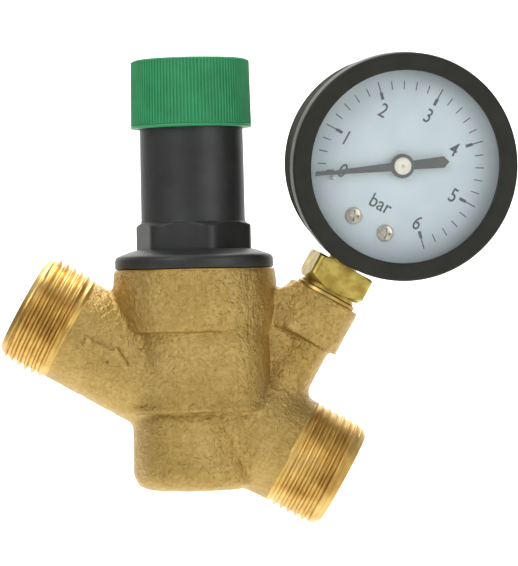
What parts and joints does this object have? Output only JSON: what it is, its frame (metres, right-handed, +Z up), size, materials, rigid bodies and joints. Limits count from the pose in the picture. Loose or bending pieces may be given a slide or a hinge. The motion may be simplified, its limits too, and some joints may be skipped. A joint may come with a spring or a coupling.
{
  "type": "pressure reducing valve",
  "caption": "Brass pressure reducing valve with male threaded ends, a sprung diaphragm under a black bonnet, a ribbed hand knob and a round dial gauge on a side boss.",
  "frame": {"origin": "centre of the inlet's end face, on the pipe axis", "axes": "+Z up along the spring and knob axis, +X level toward the outlet side, +Y away from the side that the dial faces"},
  "size_m": [0.1205, 0.0382, 0.1085],
  "materials": {
    "cast_brass": "sand-cast, shot-blasted, with machined threads",
    "machined_brass": "turned",
    "tube_bronze": "drawn",
    "steel_zinc": "zinc plated",
    "rubber_black": "matt",
    "nylon_black": "glass-filled moulding",
    "knob_green": "moulded, fine ribs",
    "low_friction_white": "turned PTFE",
    "case_black": "satin enamel on pressed steel",
    "bezel_black": "semi-gloss",
    "window_clear": "clear",
    "dial_white": "printed enamel",
    "pointer_black": "satin",
    "boss_ivory": "moulded"
  },
  "bodies": {
    "valve_body": {"body": "cast_brass", "seat_cartridge": "machined_brass", "cartridge_lower_oring": "rubber_black", "cartridge_upper_oring": "rubber_black", "cartridge_clip": "steel_zinc", "strainer": "steel_zinc", "return_spring": "steel_zinc", "diaphragm": "rubber_black", "slip_ring": "nylon_black", "bonnet": "nylon_black", "thrust_washer": "low_friction_white", "gauge_socket": "machined_brass", "gauge_seal": "tube_bronze", "gauge_case": "case_black", "gauge_bezel": "bezel_black", "gauge_window": "window_clear", "window_gasket": "rubber_black", "case_screws": "steel_zinc", "dial": "dial_white", "dial_screws": "steel_zinc", "stop_pin": "steel_zinc", "hairspring": "steel_zinc", "bourdon_tube": "tube_bronze", "movement_front_plate": "machined_brass", "movement_back_plate": "machined_brass", "movement_pillars": "machined_brass", "movement_screws": "steel_zinc"},
    "stem": {"stem": "machined_brass", "stem_oring": "rubber_black", "seat_disc": "rubber_black", "disc_holder": "machined_brass", "disc_nut": "steel_zinc", "diaphragm_washer": "machined_brass", "spring_plate": "steel_zinc", "stem_nut": "steel_zinc", "main_spring": "steel_zinc"},
    "knob": {"knob": "knob_green", "knob_screw": "steel_zinc", "adjusting_screw": "steel_zinc"},
    "spring_nut": {"spring_nut": "machined_brass"},
    "sector": {"sector_gear": "machined_brass"},
    "pointer": {"pointer": "pointer_black", "pointer_boss": "boss_ivory", "pointer_arbor": "machined_brass"},
    "tip_link": {"tip_link": "steel_zinc"},
    "tube_tip": {"tube_tip": "machined_brass"}
  },
  "joints": [
    {"name": "knob_turn", "type": "hinge", "parent": "valve_body", "child": "knob", "pos_m": [0.03949, 0, 0.0472], "axis": [0, 0, 1], "range_deg": [-1080, 1080]},
    {"name": "spring_nut_slide", "type": "slide", "parent": "valve_body", "child": "spring_nut", "axis": [0, 0, 1], "range_m": [-0.0046, 0.0046], "deforming": ["main_spring"]},
    {"name": "stem_slide", "type": "slide", "parent": "valve_body", "child": "stem", "axis": [0, 0, 1], "range_m": [0, 0.0022], "stiffness_N_per_m": 2000, "springref_m": -0.005, "deforming": ["diaphragm", "return_spring", "main_spring"]},
    {"name": "sector_turn", "type": "hinge", "parent": "valve_body", "child": "sector", "pos_m": [0.08231, -0.00041, 0.01611], "axis": [0.1652, -0.9816, -0.0954], "range_deg": [0, 39.85], "stiffness_Nm_per_rad": 0.002, "springref_deg": -11.46, "deforming": ["bourdon_tube"]},
    {"name": "pointer_turn", "type": "hinge", "parent": "valve_body", "child": "pointer", "pos_m": [0.08744, -0.00294, 0.03011], "axis": [-0.1652, 0.9816, 0.0954], "range_deg": [0, 259.13], "deforming": ["hairspring"]},
    {"name": "link_turn", "type": "hinge", "parent": "sector", "child": "tip_link", "pos_m": [0.08356, 0.00097, 0.01248], "axis": [0.1652, -0.9816, -0.0954], "range_deg": [-39.95, 0]},
    {"name": "tube_tip_slide", "type": "slide", "parent": "valve_body", "child": "tube_tip", "axis": [0.7495, 0.0621, 0.659], "range_m": [0, 0.00275]}
  ],
  "couplings": [
    {"joint": "spring_nut_slide", "follows": "knob_turn", "m_per_rad": 0.00023873},
    {"joint": "pointer_turn", "follows": "sector_turn", "ratio": 6.5},
    {"joint": "link_turn", "follows": "sector_turn", "ratio": -1},
    {"joint": "tube_tip_slide", "follows": "sector_turn", "m_per_rad": 0.0039199}
  ]
}
